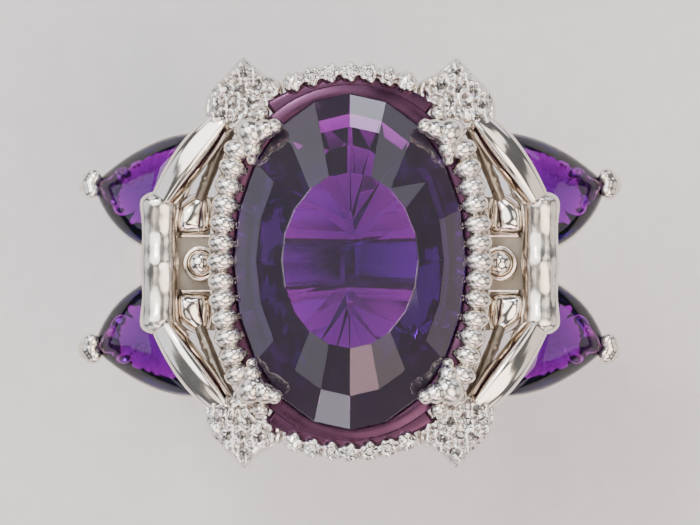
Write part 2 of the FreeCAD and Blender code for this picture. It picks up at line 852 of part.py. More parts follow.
def main():
    fill_sheet()
    make_shank()
    shoulder = make_shoulder()
    stone = make_center_stone()
    base = make_gallery_base()
    cup_outer = make_stone_cup(stone)
    claw = make_claw(base, stone)
    claws = [claw, NODES["claw_front_right"]]
    make_beaded_rail(claws, stone)
    crest = make_crest(cup_outer)
    leaf = make_leaf(claw, crest)
    plate = make_plate(cup_outer)
    strap = make_strap(plate)
    petal = make_petal()
    make_arms(leaf, strap, petal)
    make_collet()
    make_trillion(shoulder)
    DOC.recompute()
    problems = faults()
    if problems:
        raise RuntimeError("; ".join(problems))
    os.makedirs("parts", exist_ok=True)
    for name, made in NODES.items():
        made.Shape.exportStep(f"parts/{name}.step")
    print(f"{len(NODES)} nodes")


main()
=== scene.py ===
import math
import random

import bmesh
import bpy
from mathutils import Matrix, Vector, noise


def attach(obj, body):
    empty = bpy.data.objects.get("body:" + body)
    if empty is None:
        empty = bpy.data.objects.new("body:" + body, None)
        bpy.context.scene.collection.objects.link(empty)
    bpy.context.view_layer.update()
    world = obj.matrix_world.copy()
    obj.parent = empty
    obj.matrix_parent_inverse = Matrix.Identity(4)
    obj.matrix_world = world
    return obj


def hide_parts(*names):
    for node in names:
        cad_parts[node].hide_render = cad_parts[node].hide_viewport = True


# The cocktail ring's looks. Every piece is drawn in millimetres in the frame's axes, then scaled to metres.
# Right is +X, back is +Y, and the centre stone's table faces +Z. Every mirrored piece is drawn at the back
# right, and then moved to its own corner, side or end.

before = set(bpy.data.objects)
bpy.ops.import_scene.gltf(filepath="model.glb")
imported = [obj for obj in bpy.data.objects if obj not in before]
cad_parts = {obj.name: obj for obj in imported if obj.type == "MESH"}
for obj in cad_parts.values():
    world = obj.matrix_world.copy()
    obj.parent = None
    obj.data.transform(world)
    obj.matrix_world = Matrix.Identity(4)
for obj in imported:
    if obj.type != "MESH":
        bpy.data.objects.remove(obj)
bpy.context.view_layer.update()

MM = 0.001

# The signs of X and Y for each mirrored copy.
CORNERS = {
    "back_right": (1, 1),
    "back_left": (-1, 1),
    "front_right": (1, -1),
    "front_left": (-1, -1),
}
SIDES = {"right": (1, 1), "left": (-1, 1)}
ENDS = {"back": (1, 1), "front": (1, -1)}

# Sizes that more than one piece shares. Heights are measured from the finger's axis.
BORE_R = 9.05
BAND_R = 11.15
BAND_WIDTH = 2.6
BASE_TOP = 10.8
PLATE_BOTTOM = 11.7
PLATE_TOP = 12.2
CUP_TOP = 14.3
BEAD_PITCH = 0.9


# ---- materials ---------------------------------------------------------------------------------------

# Nearly all of a noise texture's values lie between these two.
NOISE_LOW, NOISE_HIGH = 0.3, 0.7

# How many blotches there are to the metre in a metal's patches, a gem's colour zones and a gem's polish.
PATCHES, ZONES, POLISH = 420, 300, 2500


def material(name):
    """A material with one principled shader joined to its output."""
    made = bpy.data.materials.new(name)
    made.use_nodes = True
    nodes = made.node_tree.nodes
    nodes.clear()
    out = nodes.new("ShaderNodeOutputMaterial")
    shader = nodes.new("ShaderNodeBsdfPrincipled")
    made.node_tree.links.new(shader.outputs["BSDF"], out.inputs["Surface"])
    return made, shader, out


def object_noise(made, scale, detail, rough=0.55, distortion=0.0):
    """Noise fixed to the object, with about `scale` blotches to the metre."""
    nodes, links = made.node_tree.nodes, made.node_tree.links
    place = nodes.new("ShaderNodeTexCoord")
    tex = nodes.new("ShaderNodeTexNoise")
    tex.inputs["Scale"].default_value = scale
    tex.inputs["Detail"].default_value = detail
    tex.inputs["Roughness"].default_value = rough
    tex.inputs["Distortion"].default_value = distortion
    links.new(place.outputs["Object"], tex.inputs["Vector"])
    return tex.outputs["Fac"]


def ramp(made, source, low, high):
    """A blend between two colours, driven by noise."""
    nodes, links = made.node_tree.nodes, made.node_tree.links
    blend = nodes.new("ShaderNodeValToRGB")
    first, last = blend.color_ramp.elements
    first.position, first.color = NOISE_LOW, (*low, 1)
    last.position, last.color = NOISE_HIGH, (*high, 1)
    links.new(source, blend.inputs["Fac"])
    return blend.outputs["Color"]


def span(made, source, low, high):
    """A value between two limits, driven by noise."""
    nodes, links = made.node_tree.nodes, made.node_tree.links
    mapped = nodes.new("ShaderNodeMapRange")
    mapped.inputs["From Min"].default_value = NOISE_LOW
    mapped.inputs["From Max"].default_value = NOISE_HIGH
    mapped.inputs["To Min"].default_value = low
    mapped.inputs["To Max"].default_value = high
    links.new(source, mapped.inputs["Value"])
    return mapped.outputs["Result"]


def bump(made, shader, source, distance):
    """Fine relief, with its depth in metres."""
    nodes, links = made.node_tree.nodes, made.node_tree.links
    bumped = nodes.new("ShaderNodeBump")
    bumped.inputs["Strength"].default_value = 0.3
    bumped.inputs["Distance"].default_value = distance
    links.new(source, bumped.inputs["Height"])
    links.new(bumped.outputs["Normal"], shader.inputs["Normal"])


def painted_crease_shade(made, colour, shade, crease):
    """Paints shade into a colour where the surface folds inwards: darker in the creases, where shade falls.
    """
    nodes, links = made.node_tree.nodes, made.node_tree.links
    fold = nodes.new("ShaderNodeNewGeometry")
    depth = nodes.new("ShaderNodeMapRange")
    depth.inputs["From Min"].default_value = crease[0]
    depth.inputs["From Max"].default_value = crease[1]
    links.new(fold.outputs["Pointiness"], depth.inputs["Value"])
    mixed = nodes.new("ShaderNodeMix")
    mixed.data_type = "RGBA"
    mixed.inputs["A"].default_value = (*shade, 1)
    links.new(depth.outputs["Result"], mixed.inputs["Factor"])
    links.new(colour, mixed.inputs["B"])
    return mixed.outputs["Result"]


def metal(name, light, dark, gloss, grain, depth, shade=None, crease=None):
    """White gold with faint warm and cool patches, fine wear in its polish, and painted shade in its
    creases if a shade colour is given.
    """
    made, shader, _ = material(name)
    links = made.node_tree.links
    shader.inputs["Metallic"].default_value = 1.0
    colour = ramp(made, object_noise(made, PATCHES, 3.0), dark, light)
    # Painted shade: the colour turns to the shade colour in the creases.
    if shade:
        colour = painted_crease_shade(made, colour, shade, crease)
    links.new(colour, shader.inputs["Base Color"])
    wear = object_noise(made, grain, 5.0, 0.6)
    links.new(span(made, wear, *gloss), shader.inputs["Roughness"])
    bump(made, shader, wear, depth)
    return made


def gem(name, tint, absorb=None, density=0, ior=1.55, gloss=(0.01, 0.04), haze=0.0):
    """A clear stone, coloured through its volume, with a polish that is not quite perfect."""
    made, shader, out = material(name)
    nodes, links = made.node_tree.nodes, made.node_tree.links
    shader.inputs["Transmission Weight"].default_value = 1.0 - haze
    shader.inputs["IOR"].default_value = ior
    zones = object_noise(made, ZONES, 2.0, 0.5, 0.4)
    links.new(ramp(made, zones, *tint), shader.inputs["Base Color"])
    polish = object_noise(made, POLISH, 3.0)
    links.new(span(made, polish, *gloss), shader.inputs["Roughness"])
    if absorb:
        volume = nodes.new("ShaderNodeVolumeAbsorption")
        volume.inputs["Color"].default_value = (*absorb, 1)
        volume.inputs["Density"].default_value = density
        links.new(volume.outputs["Volume"], out.inputs["Volume"])
    return made


POLISHED = metal(
    "white_gold_polished", light=(0.93, 0.88, 0.81), dark=(0.80, 0.71, 0.61),
    gloss=(0.05, 0.14), grain=900, depth=0.000006,
)
# Cast metal with painted shade: its colour turns dark brown in the creases.
CAST = metal(
    "white_gold_cast", light=(0.92, 0.88, 0.82), dark=(0.74, 0.67, 0.59),
    gloss=(0.13, 0.26), grain=1300, depth=0.00001,
    shade=(0.10, 0.075, 0.055), crease=(0.455, 0.515),
)
# Grained metal with painted shade: its colour turns dark brown in the creases.
GRAINED = metal(
    "white_gold_grained", light=(0.94, 0.92, 0.89), dark=(0.76, 0.71, 0.65),
    gloss=(0.08, 0.22), grain=2600, depth=0.00002,
    shade=(0.14, 0.115, 0.10), crease=(0.44, 0.51),
)
BAND = metal(
    "white_gold_band", light=(0.95, 0.94, 0.92), dark=(0.90, 0.88, 0.85),
    gloss=(0.12, 0.24), grain=1200, depth=0.000006,
)
# Painted shade: white gold coloured dark brown, for parts that sit in shadow below the straps and arms.
PAINTED_SHADE_METAL = metal(
    "white_gold_painted_shade", light=(0.27, 0.235, 0.19), dark=(0.15, 0.13, 0.105),
    gloss=(0.25, 0.45), grain=2600, depth=0.00002,
)
# Painted reflection and shade: white gold coloured dark purple, standing for the stone's colour seen in the
# metal beside it.
PAINTED_STONE_REFLECTION = metal(
    "white_gold_painted_stone_reflection", light=(0.085, 0.036, 0.070), dark=(0.062, 0.027, 0.052),
    gloss=(0.20, 0.34), grain=700, depth=0.000004,
)
AMETHYST = gem(
    "amethyst_center", tint=((0.80, 0.64, 0.94), (0.93, 0.80, 1.0)),
    absorb=(0.80, 0.02, 0.85), density=1950, haze=0.03,
)
AMETHYST_SIDE = gem(
    "amethyst_side", tint=((0.90, 0.84, 0.95), (1.0, 0.96, 1.0)),
    absorb=(0.78, 0.02, 0.86), density=4300,
)
DIAMOND = gem("diamond_melee", tint=((0.95, 0.96, 1.0), (1.0, 1.0, 1.0)), ior=2.2, gloss=(0.0, 0.03))


# ---- meshes ------------------------------------------------------------------------------------------

def mesh_object(name, points, faces, smooth=True):
    """A new object in the scene, shaded smooth or in flat facets."""
    mesh = bpy.data.meshes.new(name)
    mesh.from_pydata([tuple(p) for p in points], [], faces)
    mesh.validate()
    mesh.update()
    for face in mesh.polygons:
        face.use_smooth = smooth
    made = bpy.data.objects.new(name, mesh)
    bpy.context.scene.collection.objects.link(made)
    return made


def outward(made, merge=0.0):
    """Turns every face outwards, after joining any corners closer than the merge distance."""
    work = bmesh.new()
    work.from_mesh(made.data)
    if merge:
        bmesh.ops.remove_doubles(work, verts=work.verts, dist=merge)
    bmesh.ops.recalc_face_normals(work, faces=work.faces)
    work.to_mesh(made.data)
    work.free()


def baked(made):
    """Turns an object's modifiers into plain mesh."""
    ready = made.evaluated_get(bpy.context.evaluated_depsgraph_get())
    mesh = bpy.data.meshes.new_from_object(ready)
    made.modifiers.clear()
    made.data = mesh


def softened(made, width, segments=3):
    """Rounds a hard mesh's edges."""
    bevel = made.modifiers.new("round", "BEVEL")
    bevel.width = width
    bevel.segments = segments
    bevel.limit_method = "ANGLE"
    bevel.angle_limit = math.radians(35)
    baked(made)


def cast(name, solids, voxel, soften, lumps=None):
    """Runs overlapping solids together into one skin, as metal flows in a mould.

    Lumps are (height, spacing, seed) of a gentle unevenness in the skin.
    """
    points, faces = [], []
    for solid_points, solid_faces in solids:
        start = len(points)
        points += solid_points
        faces += [[i + start for i in face] for face in solid_faces]
    made = mesh_object(name, points, faces)
    flow = made.modifiers.new("flow", "REMESH")
    flow.mode = "VOXEL"
    flow.voxel_size = voxel
    flow.use_smooth_shade = True
    calm = made.modifiers.new("calm", "SMOOTH")
    calm.factor = 0.5
    calm.iterations = soften
    baked(made)
    mesh = made.data
    if lumps:
        height, spacing, seed = lumps
        offset = Vector((seed * 7.3, seed * 3.1, seed * 5.7))
        normals = [vertex.normal.copy() for vertex in mesh.vertices]
        for vertex, normal in zip(mesh.vertices, normals):
            broad = noise.noise(vertex.co / spacing + offset)
            fine = 0.5 * noise.noise(vertex.co * 2.3 / spacing + offset)
            vertex.co += normal * height * (broad + fine)
    for face in mesh.polygons:
        face.use_smooth = True
    return made


def place(made, node, slot, looks, mirror=(1, 1)):
    """Mirrors a finished millimetre mesh into its corner, scales it to metres and rides it on the root."""
    mesh = made.data
    mesh.transform(Matrix.Diagonal((mirror[0] * MM, mirror[1] * MM, MM, 1)))
    if mirror[0] * mirror[1] < 0:
        mesh.flip_normals()
    mesh.materials.clear()
    for look in looks:
        mesh.materials.append(look)
    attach(made, "root")
    if node:
        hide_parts(node)


def in_every(spots, source, stem, slot, look, is_node=True):
    """One copy of a back right piece in each corner or side. A copy shares its CAD node's name, if any."""
    for spot, mirror in spots.items():
        name = f"{stem}_{spot}"
        twin = bpy.data.objects.new(name, source.data.copy())
        bpy.context.scene.collection.objects.link(twin)
        place(twin, name if is_node else None, slot, [look], mirror)
    bpy.data.objects.remove(source)


# ---- points and faces --------------------------------------------------------------------------------

def ring_faces(rings, count, closed=False, start=0):
    """The quads from each ring of `count` points to the next, and from the last to the first if closed."""
    faces = []
    for ring in range(rings if closed else rings - 1):
        low = start + ring * count
        high = start + (ring + 1) % rings * count
        for k in range(count):
            j = (k + 1) % count
            faces.append([low + k, low + j, high + j, high + k])
    return faces


def capped_faces(rings, count, start=0):
    """The quads between rings, and a flat face over the first ring and over the last."""
    last = start + (rings - 1) * count
    bottom = list(range(start, start + count))[::-1]
    return ring_faces(rings, count, start=start) + [bottom, list(range(last, last + count))]


def ball(centre, radii, turn=None):
    """A round or oval solid."""
    rings, segments = 12, 20
    radii = (radii, radii, radii) if isinstance(radii, (int, float)) else radii
    turn = turn or Matrix.Identity(3)
    points = [Vector((0, 0, radii[2]))]
    for ring in range(1, rings):
        tilt = math.pi * ring / rings
        for segment in range(segments):
            spin = 2 * math.pi * segment / segments
            x = radii[0] * math.sin(tilt) * math.cos(spin)
            y = radii[1] * math.sin(tilt) * math.sin(spin)
            points.append(Vector((x, y, radii[2] * math.cos(tilt))))
    points.append(Vector((0, 0, -radii[2])))
    faces = [[0, 1 + i, 1 + (i + 1) % segments] for i in range(segments)]
    for ring in range(rings - 2):
        low = 1 + ring * segments
        for i in range(segments):
            j = (i + 1) % segments
            faces.append([low + i, low + segments + i, low + segments + j, low + j])
    last = len(points) - 1
    low = last - segments
    faces += [[last, low + (i + 1) % segments, low + i] for i in range(segments)]
    centre = Vector(centre)
    return [centre + turn @ p for p in points], faces


def sweep(path, section):
    """A closed bar along a list of points.

    The section gives (side, over) pairs for each place along the bar, from 0 to 1.
    """
    points = []
    last = len(path) - 1
    for i, here in enumerate(path):
        heading = (path[min(i + 1, last)] - path[max(i - 1, 0)]).normalized()
        side = heading.cross(Vector((0, 0, 1)))
        side = side.normalized() if side.length > 1e-6 else Vector((1, 0, 0))
        over = side.cross(heading).normalized()
        for across, height in section(i / last):
            points.append(here + side * across + over * height)
    return points, capped_faces(len(path), len(section(0.0)))


def round_section(half_wide, half_deep, power=2.0, sides=20):
    """An oval, or with a higher power a round-cornered box."""
    pairs = []
    for k in range(sides):
        turn = 2 * math.pi * k / sides
        c, s = math.cos(turn), math.sin(turn)
        across = half_wide * math.copysign(abs(c) ** (2 / power), c)
        over = half_deep * math.copysign(abs(s) ** (2 / power), s)
        pairs.append((across, over))
    return pairs


def even(*size, **shape):
    """A section for sweep that stays the same all along the bar."""
    return lambda t: round_section(*size, **shape)


def arc_through(start, middle, end, steps):
    """Points on a smooth bend through three points."""
    start, middle, end = Vector(start), Vector(middle), Vector(end)
    bend = middle * 2 - (start + end) * 0.5
    return [
        start * (1 - t) ** 2 + bend * 2 * t * (1 - t) + end * t**2
        for t in (i / steps for i in range(steps + 1))
    ]


def prism(outline, bottom, top):
    """An upright block on a flat outline of (x, y) pairs."""
    count = len(outline)
    points = [Vector((x, y, bottom)) for x, y in outline] + [Vector((x, y, top)) for x, y in outline]
    faces = [list(range(count))[::-1], [count + i for i in range(count)]]
    for i in range(count):
        j = (i + 1) % count
        faces.append([i, j, count + j, count + i])
    return points, faces


def smooth_outline(corners, per_side):
    """A closed curve through a few corner points."""
    count = len(corners)
    curve = []
    for i in range(count):
        a, b, c, d = (Vector(corners[(i + k) % count]) for k in (-1, 0, 1, 2))
        slope, pull, twist = c - a, 2 * a - 5 * b + 4 * c - d, 3 * b - a - 3 * c + d
        for step in range(per_side):
            t = step / per_side
            curve.append(0.5 * (2 * b + slope * t + pull * t * t + twist * t**3))
    return curve


def inside_outline(spot, outline):
    """Whether a flat point lies inside a closed outline, by counting the sides to its right."""
    crossings = 0
    for here, there in zip(outline, outline[1:] + outline[:1]):
        if (here[1] > spot[1]) != (there[1] > spot[1]):
            cross = here[0] + (spot[1] - here[1]) / (there[1] - here[1]) * (there[0] - here[0])
            crossings += cross > spot[0]
    return crossings % 2 == 1


def oval_hoop(name, section):
    """A closed hoop about the Z axis. Each corner of its section is (half wide, half long, height)."""
    points, steps = [], 160
    for step in range(steps):
        turn = 2 * math.pi * step / steps
        for half_wide, half_long, height in section:
            points.append((half_wide * math.cos(turn), half_long * math.sin(turn), height))
    made = mesh_object(name, points, ring_faces(steps, len(section), closed=True))
    outward(made)
    return made


def lathe(name, profile, centre):
    """A turned piece about an upright axis. Its profile of (radius, height) pairs starts and ends on it."""
    points, faces = [], []
    count, steps = len(profile), 48
    for step in range(steps):
        turn = 2 * math.pi * step / steps
        for radius, height in profile:
            x, y = centre[0] + radius * math.cos(turn), centre[1] + radius * math.sin(turn)
            points.append((x, y, centre[2] + height))
    for step in range(steps):
        here, after = step * count, (step + 1) % steps * count
        for k in range(count - 1):
            faces.append([here + k, after + k, after + k + 1, here + k + 1])
    made = mesh_object(name, points, faces)
    outward(made, merge=1e-5)
    return made


# ---- the band ----------------------------------------------------------------------------------------

def band_section():
    """Radius and width round the band's section, rounded more outside than at the bore."""
    half = BAND_WIDTH / 2
    corner, inner = 0.72, 0.14
    section = []
    for k in range(9):
        turn = math.pi / 2 * k / 8
        section.append((BAND_R - corner + corner * math.cos(turn), half - corner + corner * math.sin(turn)))
    for k in range(5):
        turn = math.pi / 2 * (1 + k / 4)
        section.append((BORE_R + inner + inner * math.cos(turn), half - inner + inner * math.sin(turn)))
    return section + [(r, -y) for r, y in reversed(section)]


def build_band():
    section, steps = band_section(), 220
    points = []
    for step in range(steps):
        turn = 2 * math.pi * step / steps
        for radius, y in section:
            points.append((radius * math.cos(turn), y, radius * math.sin(turn)))
    made = mesh_object("band", points, ring_faces(steps, len(section), closed=True))
    outward(made)
    place(made, "shank", "band_metal", [BAND])


def build_shoulders():
    """The web between the band and the plate, drawn flat from the front and then stood up."""
    inside, outside, shelf, half = 6.3, 8.3, 10.6, 1.2
    toe_rise, sunk = 0.8, 0.3
    toe = Vector((BAND_R + 0.05, toe_rise))
    corner = Vector((outside, shelf))
    bulge = corner + (toe - corner) * 0.42 + Vector((0.83, 0.62))
    foot = math.sqrt(BAND_R**2 - inside**2) - sunk
    outline = [(inside, foot), (inside, PLATE_BOTTOM), (outside, PLATE_BOTTOM)]
    outline += [(p.x, p.y) for p in arc_through(corner, bulge, toe, 14)]
    low, high = math.atan2(toe_rise, BAND_R), math.atan2(9.2, inside)
    for i in range(1, 12):
        turn = low + (high - low) * i / 12
        outline.append(((BAND_R - sunk) * math.cos(turn), (BAND_R - sunk) * math.sin(turn)))
    points, faces = prism(outline, -half, half)
    made = mesh_object("shoulder", [Vector((p.x, -p.z, p.y)) for p in points], faces, smooth=False)
    outward(made)
    softened(made, 0.15)
    in_every(SIDES, made, "shoulder", "band_metal", BAND)


# ---- the oval gallery --------------------------------------------------------------------------------

def build_gallery_base():
    """A flat oval hoop with a groove round its outer wall."""
    wide, long, rail, bottom = 6.2, 7.8, 1.6, 9.3
    edge, groove = 0.25, 0.18
    section = [
        (wide - edge, long - edge, bottom),
        (wide, long, bottom + edge),
        (wide, long, bottom + 0.55),
        (wide - groove, long - groove, bottom + 0.75),
        (wide, long, bottom + 0.95),
        (wide, long, BASE_TOP - edge),
        (wide - edge, long - edge, BASE_TOP),
        (wide - rail, long - rail, BASE_TOP),
        (wide - rail, long - rail, bottom),
    ]
    made = oval_hoop("gallery_base", section)
    softened(made, 0.06)
    place(made, "gallery_base", "white_gold", [POLISHED])


def build_stone_cup():
    """The cup's flaring wall, its rim, and the seat inside it. The rim is coloured dark purple: a painted
    reflection of the stone's colour, and painted shade.
    """
    rim_bottom = 13.7
    section = [
        (5.5, 6.8, BASE_TOP),
        (6.05, 7.6, 12.5),
        (6.5, 8.3, 13.9),
        (6.6, 8.4, 14.1),
        (6.54, 8.34, 14.2),
        (6.3, 8.1, 14.24),
        (5.35, 7.75, CUP_TOP - 0.02),
        (5.0, 7.35, CUP_TOP - 0.22),
        (5.0, 7.3, 13.6),
        (5.85, 7.65, 13.55),
        (4.8, 6.1, BASE_TOP),
    ]
    made = oval_hoop("stone_cup", section)
    softened(made, 0.03)
    place(made, "stone_cup", "white_gold", [POLISHED, PAINTED_STONE_REFLECTION])
    # The rim's faces take the painted dark purple reflection of the stone.
    for face in made.data.polygons:
        face.material_index = 1 if face.center.z > rim_bottom * MM else 0


# ---- the centre stone --------------------------------------------------------------------------------

# Half width, half length and height of each row of corners, from the keel up to the table.
STONE_ROWS = [
    (0.25, 2.5, 11.35),
    (2.6, 4.9, 12.75),
    (4.35, 6.75, 13.85),
    (5.45, 7.9, 14.6),
    (5.45, 7.9, 14.8),
    (4.4, 6.3, 15.5),
    (3.2, 4.1, 16.7),
]


def build_center_stone():
    sides = 20
    points = []
    for half_wide, half_long, height in STONE_ROWS:
        for k in range(sides):
            turn = 2 * math.pi * k / sides
            points.append((half_wide * math.cos(turn), half_long * math.sin(turn), height))
    made = mesh_object("center_stone", points, capped_faces(len(STONE_ROWS), sides), smooth=False)
    outward(made)
    softened(made, 0.05, 2)
    place(made, "center_stone", "center_amethyst", [AMETHYST])


# ---- beads, crests and claws -------------------------------------------------------------------------

# The radius that each row of beads bends to, how far out the row's middle is, and how many beads it has on
# each side of the middle one.
RAIL_CURVE, RAIL_OUT, RAIL_COUNT = 18.5, 6.2, 6
CREST_CURVE, CREST_OUT, CREST_COUNT = 7.5, 8.9, 3


def rail_spot(turn, out=0.0):
    """A point on the right rail's curve, or a little outside it."""
    radius = RAIL_CURVE + out
    return Vector((RAIL_OUT - RAIL_CURVE + radius * math.cos(turn), radius * math.sin(turn), 0))


def crest_spot(step, out=0.0):
    """A point on the back crest's curve, a number of bead pitches from its middle."""
    turn = step * BEAD_PITCH / CREST_CURVE
    radius = CREST_CURVE + out
    return Vector((radius * math.sin(turn), CREST_OUT - CREST_CURVE + radius * math.cos(turn), 0))


def raised(spot, height):
    """A flat point, lifted to a height."""
    return spot + Vector((0, 0, height))


def build_rails():
    """A row of barrel beads on a bar, each with a rib that runs in under the stone's edge."""
    reach = RAIL_COUNT + 0.3
    turns = [(i / 40 - 1) * reach * BEAD_PITCH / RAIL_CURVE for i in range(81)]
    bar = sweep([raised(rail_spot(turn), CUP_TOP + 0.1) for turn in turns], even(0.42, 0.16, 3))
    for seed, (side, mirror) in enumerate(SIDES.items()):
        rng = random.Random(40 + seed)
        solids = [bar]
        for step in range(-RAIL_COUNT, RAIL_COUNT + 1):
            turn = step * BEAD_PITCH / RAIL_CURVE + rng.uniform(-0.0015, 0.0015)
            lean = Matrix.Rotation(turn + rng.uniform(-0.1, 0.1), 3, "Z")
            spot = raised(rail_spot(turn, -0.15), CUP_TOP + 0.4)
            solids.append(ball(spot, (rng.uniform(0.65, 0.69), rng.uniform(0.48, 0.51), 0.48), lean))
            inner = raised(rail_spot(turn, -0.86), CUP_TOP + 0.1)
            rib = arc_through(spot + Vector((-0.1, 0, -0.1)), (spot + inner) * 0.5, inner, 6)
            solids.append(sweep(rib, lambda t: round_section(0.24 - 0.06 * t, 0.22 - 0.06 * t)))
        made = cast(f"beaded_rail_{side}", solids, voxel=0.05, soften=2)
        place(made, f"beaded_rail_{side}", "white_gold", [CAST], mirror)


def brilliants(name, spots, radius):
    """A group of small round cut stones. Each spot is a centre and a turn, in eighths of a circle."""
    sides = 8
    rows = [(0.06, -0.72), (1.0, -0.06), (1.0, 0.0), (0.55, 0.3)]
    points, faces = [], []
    for centre, shift in spots:
        faces += capped_faces(len(rows), sides, start=len(points))
        for scale, height in rows:
            for k in range(sides):
                spin = 2 * math.pi * (k + shift) / sides
                corner = Vector((math.cos(spin) * scale, math.sin(spin) * scale, height))
                points.append(centre + corner * radius)
    made = mesh_object(name, points, faces, smooth=False)
    outward(made)
    return made


def build_crests():
    """A curved row of grained lobes, most set with a stone, and the ledge between the row and the cup,
    coloured dark purple as a painted reflection of the stone's colour.
    """
    bar = sweep([raised(crest_spot(-3.05 + 6.1 * i / 40), 13.7) for i in range(41)], even(0.36, 0.5, 3.5))
    ledge = [raised(crest_spot(-4.8 + 9.6 * i / 40, -0.85), 13.93) for i in range(41)]
    for seed, (end, mirror) in enumerate(ENDS.items()):
        rng = random.Random(60 + seed)
        solids, stones = [bar], []
        for step in range(-CREST_COUNT, CREST_COUNT + 1):
            spot = crest_spot(step, 0.03)
            solids.append(ball(raised(spot, 14.03), (0.53, 0.58, 0.5)))
            solids.append(ball(raised(spot, 13.6), (0.48, 0.46, 0.5)))
            for corner in range(5):
                turn = corner * math.pi * 0.4 + rng.uniform(-0.25, 0.25)
                grain = spot + Vector((0.3 * math.cos(turn), 0.36 * math.sin(turn), 14.38))
                solids.append(ball(grain, rng.uniform(0.13, 0.18)))
            if abs(step) < CREST_COUNT:
                stones.append((raised(spot, 14.5), rng.random()))
        made = cast(f"crest_{end}", solids, voxel=0.045, soften=2, lumps=(0.012, 0.3, seed))
        place(made, f"crest_{end}", "textured_white_gold", [GRAINED], mirror)
        melee = brilliants(f"crest_melee_{end}", stones, 0.25)
        place(melee, f"crest_melee_{end}", "diamond", [DIAMOND], mirror)
        shelf = mesh_object(f"crest_ledge_{end}", *sweep(ledge, even(0.62, 0.22, 5)))
        outward(shelf)
        # The ledge is coloured dark purple: a painted reflection of the stone's colour, and painted shade.
        place(shelf, None, "textured_white_gold", [PAINTED_STONE_REFLECTION], mirror)


# Each soft lobe of a claw's head: how far it is from the head's middle, and its radii.
CLAW_LOBES = [
    ((-0.45, 0.28, 0.28), (0.56, 0.5, 0.46)),
    ((-0.92, 0.42, 0.4), (0.4, 0.38, 0.38)),
    ((-0.28, 1.04, -0.12), (0.42, 0.36, 0.4)),
    ((0.14, -0.6, 0.0), (0.48, 0.5, 0.46)),
    ((0.14, -1.08, -0.12), (0.3, 0.36, 0.32)),
]


def build_claws():
    """A wire up the cup's wall to a broad head, with lobes all round it and one small lump on top."""
    head = Vector((4.45, 5.9, 15.0))
    foot = Vector((4.2, 5.15, BASE_TOP + 0.1))
    knee = Vector((5.0, 6.3, 14.2))
    shin = foot.lerp(knee, 0.5) + Vector((0.05, 0.05, 0))
    neck = knee.lerp(head, 0.5) + Vector((0.05, 0.04, 0.1))
    lean = Matrix.Rotation(math.radians(38), 3, "Z")
    wire = sweep([foot, shin, knee, neck, head], lambda t: round_section(0.46 + 0.08 * t, 0.46 + 0.08 * t))
    crown = ball(head + Vector((0.16, 0.12, 0.0)), (0.78, 0.7, 0.64), lean)
    for seed, (corner, mirror) in enumerate(CORNERS.items()):
        rng = random.Random(80 + seed)
        solids = [wire, crown]
        solids += [ball(head + Vector(offset), radii) for offset, radii in CLAW_LOBES]
        turn = rng.uniform(0, 2 * math.pi)
        lump = head + Vector((0.3 * math.cos(turn), 0.3 * math.sin(turn), 0.36))
        solids.append(ball(lump, rng.uniform(0.24, 0.3)))
        made = cast(f"claw_{corner}", solids, voxel=0.05, soften=4, lumps=(0.018, 0.8, seed))
        place(made, f"claw_{corner}", "white_gold", [CAST], mirror)


# ---- corner leaves -----------------------------------------------------------------------------------

LEAF_TOP = 14.05
LEAF_MIDDLE = Vector((5.15, 7.95))

# The leaf's outline, from its point at the back round by its outer side, and the middles of its stones.
LEAF_CORNERS = [
    (4.99, 9.70), (5.42, 9.36), (5.95, 8.78), (6.6, 8.12), (6.9, 7.3),
    (6.75, 6.4), (5.9, 6.15), (5.2, 6.3), (4.5, 6.62), (3.85, 7.05),
    (3.3, 7.5), (3.1, 8.05), (3.32, 8.6), (3.95, 8.87), (4.5, 9.34),
]
LEAF_STONES = [
    (4.98, 8.95), (4.35, 8.3), (5.1, 8.15), (5.8, 8.15),
    (4.75, 7.5), (5.55, 7.45), (6.25, 7.4), (5.95, 6.9),
]


def build_leaves():
    """A domed spade with a smooth rim, set with small stones among raised grains."""
    outline = smooth_outline(LEAF_CORNERS, 6)
    neck, pitch = 6.7, 0.3

    def shrunk(points, share):
        return [tuple(p.lerp(LEAF_MIDDLE, share)) for p in points]

    body = [p for p in outline if p.y > neck]
    field = shrunk(outline, 0.16)
    for seed, (corner, mirror) in enumerate(CORNERS.items()):
        rng = random.Random(100 + seed)
        solids = [
            prism(shrunk(outline, 0.02), 13.15, 13.72),
            prism(shrunk(outline, 0.07), 13.7, 13.86),
            prism(shrunk(body, 0.1), 13.7, 13.92),
            prism(shrunk(body, 0.2), 13.7, 14.0),
        ]
        for row in range(13):
            for column in range(14):
                x = 3.1 + pitch * column + rng.uniform(-0.08, 0.08)
                y = neck + pitch * row * 0.8 + rng.uniform(-0.08, 0.08)
                if inside_outline((x, y), field):
                    solids.append(ball((x, y, LEAF_TOP + rng.uniform(-0.1, 0.0)), rng.uniform(0.13, 0.2)))
        made = cast(f"leaf_{corner}", solids, voxel=0.045, soften=2, lumps=(0.015, 0.35, seed))
        place(made, f"leaf_{corner}", "textured_white_gold", [GRAINED], mirror)
        stones = [(Vector((x, y, LEAF_TOP + 0.06)), rng.random()) for x, y in LEAF_STONES]
        melee = brilliants(f"leaf_melee_{corner}", stones, 0.26)
        place(melee, f"leaf_melee_{corner}", "diamond", [DIAMOND], mirror)


# ---- arms, straps, petals ----------------------------------------------------------------------------

# Three points along each bar, from the leaf to the strap.
ARM_PATH = [(6.0, 6.7, 13.55), (7.4, 5.05, 13.5), (8.78, 3.0, 12.95)]
UNDER_ARM_PATH = [(5.5, 6.5, 13.15), (6.3, 4.9, 12.9), (7.1, 2.95, 12.6)]

